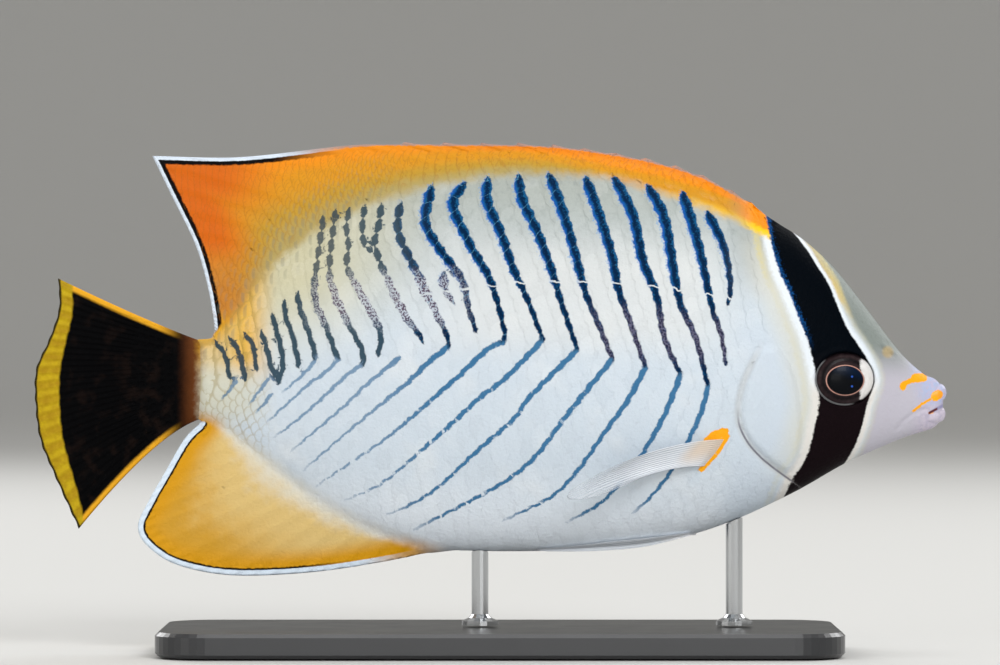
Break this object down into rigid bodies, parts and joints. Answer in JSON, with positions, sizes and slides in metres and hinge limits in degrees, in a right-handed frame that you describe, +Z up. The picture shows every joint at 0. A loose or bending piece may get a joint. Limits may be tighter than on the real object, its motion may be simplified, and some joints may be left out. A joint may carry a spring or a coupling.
{
  "type": "chevron butterflyfish display model",
  "caption": "Still, life-size butterflyfish with a chevron-striped, flat-sided body, tall back and belly fins and a fan tail, held level by two rods on a flat base.",
  "frame": {"origin": "centre of the stand base's underside, on the floor", "axes": "+X from the tail towards the snout, +Y to the fish's left side, +Z up"},
  "size_m": [0.1503, 0.046, 0.0839],
  "materials": {
    "skin": "pearly white scaled skin with dark blue chevrons and a black bar through the eye",
    "lip": "smooth wet lilac skin",
    "dorsal": "orange scaled fin with a black and white rear edge",
    "anal": "yellow scaled fin with a black and white edge",
    "tail": "velvet black rays with a yellow edge",
    "web": "clear white membrane with fine rays",
    "eye": "wet dark eye with a thin copper ring",
    "base": "satin black plate",
    "rod": "polished rod"
  },
  "bodies": {
    "root": {"head": "skin", "trunk": "skin", "tail_stalk": "skin", "gill_cover_left": "skin", "gill_cover_right": "skin", "upper_lip": "lip", "lower_lip": "lip", "dorsal_fin": "dorsal", "anal_fin": "anal", "tail_fin": "tail", "pectoral_fin_left": "web", "pectoral_fin_right": "web", "pelvic_fin_left": "web", "pelvic_fin_right": "web", "eye_left": "eye", "eye_right": "eye", "stand_base": "base", "stand_rod_front": "rod", "stand_rod_rear": "rod"}
  },
  "joints": []
}
